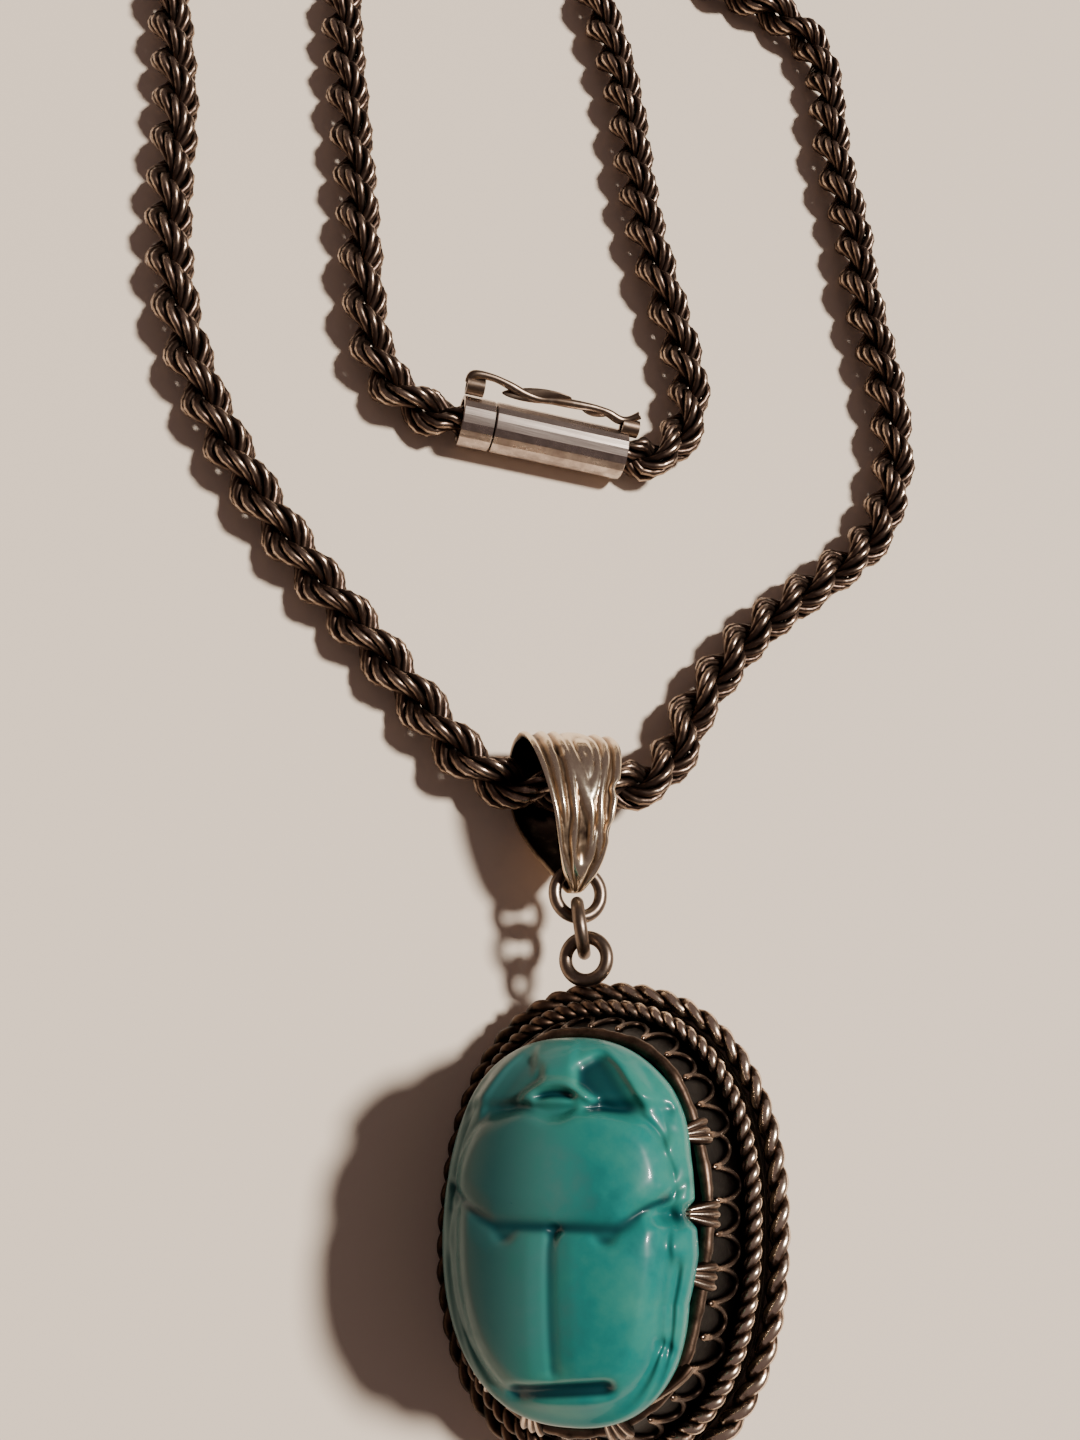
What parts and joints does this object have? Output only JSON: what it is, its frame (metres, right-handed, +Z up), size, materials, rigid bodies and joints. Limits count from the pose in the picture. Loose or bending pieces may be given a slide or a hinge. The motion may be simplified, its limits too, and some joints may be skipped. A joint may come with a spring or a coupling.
{
  "type": "scarab amulet",
  "caption": "Turquoise glazed scarab in a tall stepped oval silver setting with twisted-wire rims, on a leaf-shaped fold-over bail and a rope chain with a barrel clasp.",
  "frame": {"origin": "on the surface that the amulet lies on, under the middle of the amulet with its loop, links and bail; the chain and its clasp are left out", "axes": "+Y along the amulet from its tail towards its bail, +Z up from the surface, +X to the side that the lean lifts"},
  "size_m": [0.0836, 0.1698, 0.0194],
  "materials": {
    "glaze": "glossy turquoise glaze, darker in the carving, paler on worn edges",
    "silver_dark": "oxidised silver, nearly black in the hollows",
    "silver_rope": "oxidised silver wire, rubbed bright on top",
    "silver_worn": "worn silver with fine lengthwise scratches",
    "silver_bail": "embossed silver, dark in the grooves"
  },
  "bodies": {
    "root": {"scarab": "glaze", "back_shell": "silver_dark", "gallery": "silver_dark", "gallery_scallops": "silver_dark", "rope_rim_outer": "silver_rope", "rope_rim_inner": "silver_rope", "bezel_wire": "silver_rope", "claw_1": "silver_rope", "claw_2": "silver_rope", "claw_3": "silver_rope", "claw_4": "silver_rope", "claw_5": "silver_rope", "claw_6": "silver_rope", "claw_7": "silver_rope", "claw_8": "silver_rope", "claw_9": "silver_rope", "claw_10": "silver_rope", "hanging_loop": "silver_rope", "middle_link": "silver_rope", "bail_ring": "silver_rope", "bail": "silver_bail", "chain_left": "silver_rope", "chain_right": "silver_rope", "clasp_cap": "silver_worn", "clasp_barrel": "silver_worn", "catch_lug_left": "silver_worn", "catch_lug_right": "silver_worn", "safety_catch": "silver_worn"}
  },
  "joints": []
}
